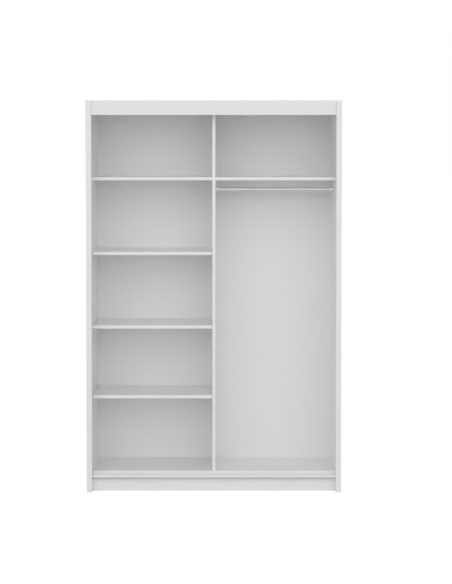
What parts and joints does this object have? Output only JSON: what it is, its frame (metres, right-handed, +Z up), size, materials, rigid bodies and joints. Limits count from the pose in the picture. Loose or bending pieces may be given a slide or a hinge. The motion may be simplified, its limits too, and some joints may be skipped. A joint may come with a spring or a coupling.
{
  "type": "sliding wardrobe body",
  "caption": "Open-fronted white wardrobe body with shelf compartments beside a hanging space, a rail, a plinth base and tracks above and below for sliding doors.",
  "frame": {"origin": "on the floor, under the middle of the wardrobe's outline", "axes": "+X to the right seen from the front, +Y to the back, +Z up"},
  "size_m": [1.3, 0.62, 2],
  "materials": {
    "white_board": "white melamine-faced board, satin",
    "white_sheet": "white lacquered fibreboard sheet, satin",
    "track_aluminium": "pale anodised, satin",
    "stop_rubber": "matt",
    "rail_chrome": "bright plated",
    "plated_steel": "zinc plated",
    "cast_zinc": "die-cast, dull",
    "white_plastic": "matt moulded",
    "beech": "raw, fluted"
  },
  "bodies": {
    "cabinet": {"side_panel_left": "white_board", "side_panel_right": "white_board", "top_panel": "white_board", "floor_panel": "white_board", "centre_partition": "white_board", "fixed_shelf_left": "white_board", "fixed_shelf_right": "white_board", "fascia_board": "white_board", "front_plinth": "white_board", "rear_plinth": "white_board", "centre_support": "white_board", "track_bearer": "white_board", "back_sheet_left": "white_sheet", "back_sheet_right": "white_sheet", "top_door_track": "track_aluminium", "bottom_door_track": "track_aluminium", "track_end_stops": "stop_rubber", "rail_socket_left": "rail_chrome", "rail_socket_right": "rail_chrome", "shelf_pins": "plated_steel", "cam_housings": "cast_zinc", "cam_bolts": "plated_steel", "cam_cover_caps": "white_plastic", "wooden_dowels": "beech", "assembly_screws": "plated_steel", "top_track_screws": "plated_steel", "bottom_track_screws": "plated_steel", "bearer_screws": "plated_steel", "rail_socket_screws": "plated_steel", "back_sheet_nails": "plated_steel", "wall_bracket_left": "plated_steel", "wall_bracket_right": "plated_steel", "wall_bracket_screws": "plated_steel", "floor_glides": "white_plastic"},
    "lower_shelf": {"loose_shelf_lower": "white_board"},
    "middle_shelf": {"loose_shelf_middle": "white_board"},
    "upper_shelf": {"loose_shelf_upper": "white_board"},
    "rail": {"hanging_rail": "rail_chrome"}
  },
  "joints": [
    {"name": "lower_shelf_slide", "type": "slide", "parent": "cabinet", "child": "lower_shelf", "axis": [0, -1, 0], "range_m": [0, 0.62]},
    {"name": "middle_shelf_slide", "type": "slide", "parent": "cabinet", "child": "middle_shelf", "axis": [0, -1, 0], "range_m": [0, 0.62]},
    {"name": "upper_shelf_slide", "type": "slide", "parent": "cabinet", "child": "upper_shelf", "axis": [0, -1, 0], "range_m": [0, 0.62]},
    {"name": "rail_lift", "type": "slide", "parent": "cabinet", "child": "rail", "axis": [0, 0, 1], "range_m": [0, 0.034]}
  ]
}
